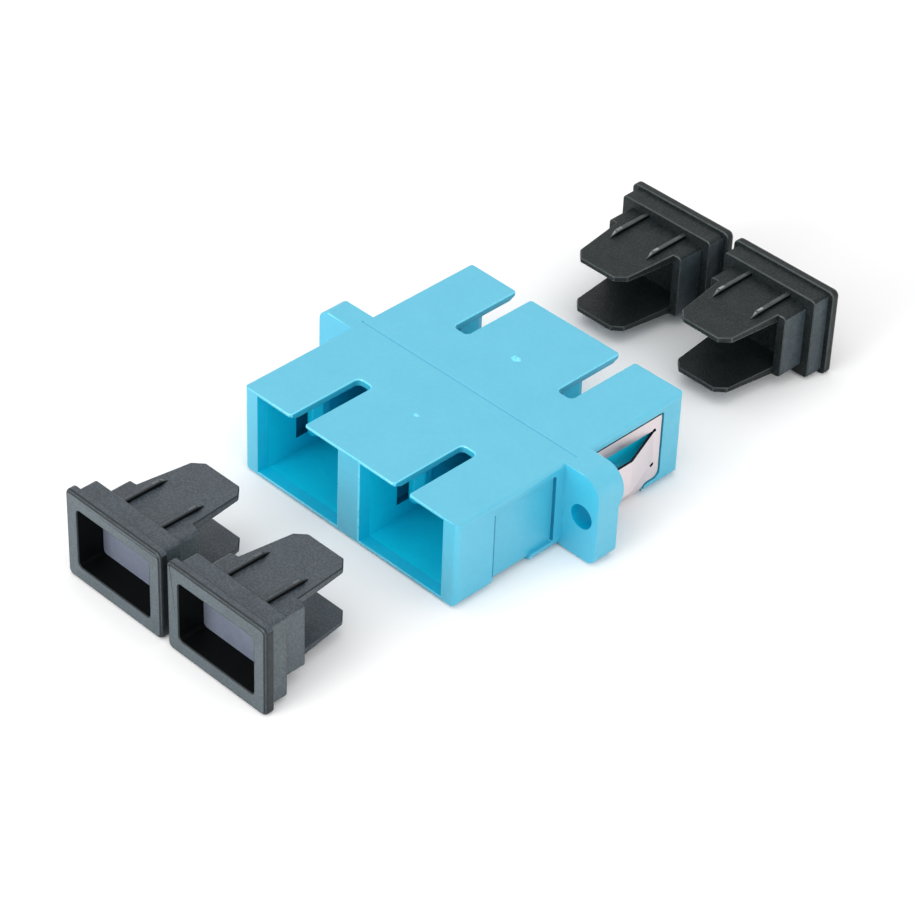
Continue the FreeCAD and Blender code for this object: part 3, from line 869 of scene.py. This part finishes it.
@dataclass
class DustCap(SoftEdged):
    """Dust caps: recess, outer face, rib crests and flanks differ from the rest.

    Depths are counted from the cap's outer face towards its tongues.
    """

    recess_half_mm: tuple[float, float] = (4.6, 3.05)
    recess_depth_mm: float = 2.7
    face_depth_mm: float = 0.25
    lip_from_mm: float = 5.5
    lip_depth_mm: float = 0.95
    rib_x_mm: float = 2.3
    rib_half_mm: float = 0.26
    rib_span_mm: tuple[float, float] = (2.75, 8.1)
    rib_from_mm: float = 3.0
    crest_from_mm: float = 3.32
    rib_top_mm: float = 3.64
    highlight_from_mm: float = 6.3
    flank_from_mm: float = 4.2
    flank_span_mm: tuple[float, float] = (1.0, 5.6)
    near_mm: float = 0.05

    def prepare(self, node: str, work: bmesh.types.BMesh) -> None:
        """Part off the outer length of each rib, which alone takes a painted highlight.

        Args:
            node: The CAD node's name.
            work: The joined mesh, in metres.
        """
        low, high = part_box(node)
        shift = self.highlight_from_mm * MM
        front = node.startswith(Side.FRONT.value)
        line = low[1] + shift if front else high[1] - shift
        ribs = [face for face in work.faces if abs(face.normal.z) > SQUARE
                and abs(face.calc_center_median().z) > self.rib_top_mm * MM
                and min(vert.co.y for vert in face.verts) < line
                < max(vert.co.y for vert in face.verts)]
        for face in ribs:
            part_off(work, [face], (0.0, line, 0.0), (0.0, 1.0, 0.0))

    def zones(self, node: str, centres: np.ndarray, normals: np.ndarray) -> np.ndarray:
        """Tell the recess, outer face, rib crests and flanks from the rest.

        Args:
            node: The CAD node's name.
            centres: Face centres in millimetres.
            normals: Face normals.

        Returns:
            A CapZone number for each face.
        """
        low, high = (np.array(corner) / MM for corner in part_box(node))
        across = np.abs(centres[:, 0] - (low[0] + high[0]) / 2)
        up = np.abs(centres[:, 2])
        front = node.startswith(Side.FRONT.value)
        depth = centres[:, 1] - low[1] if front else high[1] - centres[:, 1]
        sideways, lengthways, _ = np.abs(normals).T
        recess = (across < self.recess_half_mm[0]) & (up < self.recess_half_mm[1]) & (
            depth > self.near_mm) & (depth < self.recess_depth_mm + self.near_mm)
        face = (depth < self.face_depth_mm) & (lengthways > FACING) & ~recess
        rib = (depth > self.rib_span_mm[0]) & (depth < self.rib_span_mm[1]) & (
            np.abs(across - self.rib_x_mm) < self.rib_half_mm) & (up > self.rib_from_mm)
        crest = rib & (sideways < ACROSS) & (lengthways < FACING) & (
            up > self.crest_from_mm)
        flank = (sideways > FACING) & (across > self.flank_from_mm) & (
            depth > self.flank_span_mm[0]) & (depth < self.flank_span_mm[1]) & ~recess
        # The front caps' lip sides take the edge finish's painted shade.
        rim = front & (sideways > FACING) & (across > self.lip_from_mm) & (
            depth < self.lip_depth_mm)
        # The recess floor takes painted light on the front caps, and its walls painted
        # shade.
        inside = np.where(lengthways > FACING, CapZone.FLOOR, CapZone.WALL)
        zone = np.where(recess, inside, CapZone.BODY)
        # On the front caps the outer face and the flanks take painted light.
        zone = np.where(face, CapZone.FACE, zone)
        zone = np.where(flank, CapZone.FLANK, zone)
        zone = np.where(rim, CapZone.EDGE, zone)
        # The ribs' sides take the walls' painted shade.
        zone = np.where(rib & (sideways > ACROSS), CapZone.WALL, zone)
        # The rest of each crest keeps the body on the front caps, and takes the edges'
        # painted highlight on the rear ones.
        zone = np.where(crest, CapZone.BODY if front else CapZone.EDGE, zone)
        # The ribs' outer crests take a painted highlight.
        return np.where(crest & (depth > self.highlight_from_mm), CapZone.CREST, zone)


@dataclass
class GateMark:
    """The torn stub that the mould's gate leaves on a housing half."""

    name: str
    centre_mm: Point
    radius_mm: float
    height_mm: float
    torn: float = 0.5
    sunk_mm: float = 0.03
    rings: int = 14
    spokes: int = 48

    def build(self, body: str) -> bpy.types.Object:
        """Make the stub as a closed low dome and ride it on a body.

        The height over the underside at a share s of the radius and an angle a is
        that of a bell, (1 - s squared) squared, times one plus the tear.  The tear
        is torn times 3 s (1 - s) times the sum of the sine of 3 a + 0.7 and 0.6 of
        the sine of 7 a.  The outline's radius waves by 0.12 of the cosine of
        2 a + 0.4 and 0.06 of the cosine of 5 a.  The underside is flat, just inside
        the plastic.

        Args:
            body: The body that carries the housing.

        Returns:
            The new piece.
        """
        share, angle = np.meshgrid(np.linspace(1.0, 0.0, self.rings, endpoint=False),
                                   np.linspace(0.0, math.tau, self.spokes,
                                               endpoint=False), indexing="ij")
        tear = 1.0 + self.torn * (np.sin(3 * angle + 0.7) + 0.6 * np.sin(7 * angle)) * (
            share * (1.0 - share) * 3.0)
        height = self.height_mm * (1.0 - share ** 2) ** 2 * tear
        radius = self.radius_mm * share * (1.0 + 0.12 * np.cos(2 * angle + 0.4)
                                           + 0.06 * np.cos(5 * angle))
        x, y, z = self.centre_mm
        rows = np.stack([x + radius * np.cos(angle), y + radius * np.sin(angle),
                         z - self.sunk_mm + height], axis=-1).reshape(-1, 3)
        poles = np.array([(x, y, z - self.sunk_mm + self.height_mm),
                          (x, y, z - self.sunk_mm)])
        points = np.concatenate([rows, poles])
        top, bottom = len(rows), len(rows) + 1
        first = np.arange(self.spokes)
        following = (first + 1) % self.spokes
        last = (self.rings - 1) * self.spokes
        quads = ring_faces(self.rings, self.spokes)[:, ::-1]
        crown = np.stack([last + first, last + following,
                          np.full(self.spokes, top)], axis=-1)
        base = np.stack([following, first, np.full(self.spokes, bottom)], axis=-1)
        faces = quads.tolist() + crown.tolist() + base.tolist()
        # The stub takes the edges' finish, painted pale as a highlight.
        piece = mesh_object(self.name, points, faces, AQUA_EDGE_HIGHLIGHT)
        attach(piece, body)
        return piece


# ------------------------------------------------------------------ studio
@dataclass(frozen=True)
class Softbox:
    """A round soft lamp that faces the object."""

    name: str
    place_mm: Point
    size_mm: float
    watts: float

    def build(self) -> None:
        """Hang the lamp and turn it to the middle of the object."""
        lamp = bpy.data.lights.new(self.name, "AREA")
        lamp.shape = "DISK"
        lamp.size = self.size_mm * MM
        lamp.energy = self.watts
        place = Vector(self.place_mm)
        holder = bpy.data.objects.new(self.name, lamp)
        holder.location = place * MM
        holder.rotation_euler = (-place).to_track_quat("-Z", "Y").to_euler()
        bpy.context.scene.collection.objects.link(holder)


@dataclass
class Studio:
    """Pale floor, soft light and the camera."""

    floor_height_mm: float
    floor_half_mm: float = 1500.0
    azimuth: float = 44.04
    elevation: float = 37.73
    roll: float = 2.29
    distance_mm: float = 290.7
    aim_mm: Point = (0.46, -1.38, -1.45)
    lens_mm: float = 131.84
    sensor_mm: float = 36.0
    clip_m: tuple[float, float] = (0.01, 10.0)
    sky: float = 0.85
    lamps: tuple[Softbox, ...] = (
        Softbox("overhead", (-60, -40, 420), 420, 0.3),
        Softbox("front_softbox", (-60, -560, 110), 400, 2.45),
        Softbox("right_softbox", (540, -60, 110), 400, 0.6))

    def build(self) -> None:
        """Build the floor, the lights, the world and the camera."""
        self.floor()
        for lamp in self.lamps:
            lamp.build()
        self.world()
        self.camera()

    def floor(self) -> None:
        """Lay a wide card just under the lowest point of the object."""
        half, z = self.floor_half_mm, self.floor_height_mm
        points = np.array([(-half, -half, z), (half, -half, z), (half, half, z),
                           (-half, half, z)])
        mesh_object("floor", points, [[0, 1, 2, 3]], STUDIO_CARD)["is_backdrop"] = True

    def world(self) -> None:
        """Even grey-white surroundings; the camera and mirrors see them as white."""
        world = bpy.data.worlds.new("studio")
        bpy.context.scene.world = world
        world.use_nodes = True
        tree = world.node_tree
        tree.nodes.clear()
        strength = add_node(tree, "MapRange", {"clamp": True},
                            {"Value": seen_directly(tree)},
                            **spread((0.0, 1.0), self.sky, 1.0))
        light = add_node(tree, "Background",
                         links={"Strength": strength.outputs["Result"]}, Color=WHITE)
        add_node(tree, "OutputWorld", links={"Surface": light.outputs[0]})

    def camera(self) -> None:
        """Place the camera by azimuth, elevation and roll round the aim point."""
        az, el, roll = (math.radians(a) for a in (self.azimuth, self.elevation,
                                                  self.roll))
        back = Vector((math.sin(az) * math.cos(el), -math.cos(az) * math.cos(el),
                       math.sin(el)))
        right = Vector((math.cos(az), math.sin(az), 0.0))
        up = back.cross(right)
        turned_right = right * math.cos(roll) + up * math.sin(roll)
        turned_up = up * math.cos(roll) - right * math.sin(roll)
        axes = Matrix((turned_right, turned_up, back)).transposed().to_4x4()
        place = (Vector(self.aim_mm) + back * self.distance_mm) * MM
        data = bpy.data.cameras.new("camera")
        data.lens = self.lens_mm
        data.sensor_width = self.sensor_mm
        data.clip_start, data.clip_end = self.clip_m
        camera = bpy.data.objects.new("camera", data)
        camera.matrix_world = Matrix.Translation(place) @ axes
        bpy.context.scene.collection.objects.link(camera)
        bpy.context.scene.camera = camera


def main() -> None:
    """Build every sub-assembly in order and report each piece."""
    logging.basicConfig(level=logging.INFO, format="%(name)s: %(message)s")
    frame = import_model()
    bpy.context.scene.view_settings.view_transform = "Standard"
    bodies = frame["record"]["behaviour"]["bodies"]
    body_of = {node: body for body, members in bodies.items() for node in members}
    ends = [side.value for side in Side]
    hands = ("left", "right")
    housings = tuple(f"{end}_housing" for end in ends)
    holders = tuple(f"{end}_latch_holder_{hand}" for end in ends for hand in hands)
    sleeves = tuple(f"split_sleeve_{hand}" for hand in hands)
    front_caps, rear_caps = (tuple(f"{end}_dust_cap_{hand}" for hand in hands)
                             for end in ends)
    groups = (
        Housing((AQUA_PBT, AQUA_EDGE_HIGHLIGHT, AQUA_CORE_BOUNCE, AQUA_SLOT_SHADE, AQUA_SHADE, AQUA_MOUTH),
                "aqua_housing", body_of, housings, radius_mm=0.1,
                keeps_overlap_limit=False),
        SoftEdged((HOLDER_PBT_BOUNCE, HOLDER_PBT_BOUNCE), "latch_plastic", body_of, holders,
                  radius_mm=0.08),
        SpringClip((CLIP_STEEL, CLIP_EDGE_SHADE), "clip_steel", body_of, ("panel_clip",),
                   radius_mm=0.06),
        SoftEdged((ZIRCONIA, ZIRCONIA), "zirconia", body_of, sleeves,
                  radius_mm=0.05),
        DustCap((CAP_PE_BLOOM, CAP_EDGE_BLOOM_SHADE, CAP_FLOOR_BLOOM_LIT, CAP_WALL_SHADE,
                 CAP_FACE_BLOOM_LIT, CAP_CREST_BLOOM_HIGHLIGHT, CAP_FACE_BLOOM_LIT), "cap_black",
                body_of, front_caps, radius_mm=0.1),
        DustCap((CAP_PE, CAP_EDGE_HIGHLIGHT, CAP_PE, CAP_WALL_SHADE, CAP_PE, CAP_CREST_HIGHLIGHT, CAP_FLANK_LIT),
                "cap_black", body_of, rear_caps, radius_mm=0.1))
    for group in groups:
        for piece in group.build():
            LOG.info("built %s", piece.name)
    top = float(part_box("front_housing")[1][2]) / MM
    marks = (GateMark("front_gate_mark", (-0.1, -6.0, top), 0.4, 0.09),
             GateMark("rear_gate_mark", (-0.1, 6.1, top), 0.6, 0.17))
    for mark in marks:
        LOG.info("built %s", mark.build(body_of["front_housing"]).name)
    under_mm = 0.02
    Studio(float(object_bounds()[0][2]) / MM - under_mm).build()


if __name__ == "__main__":
    main()
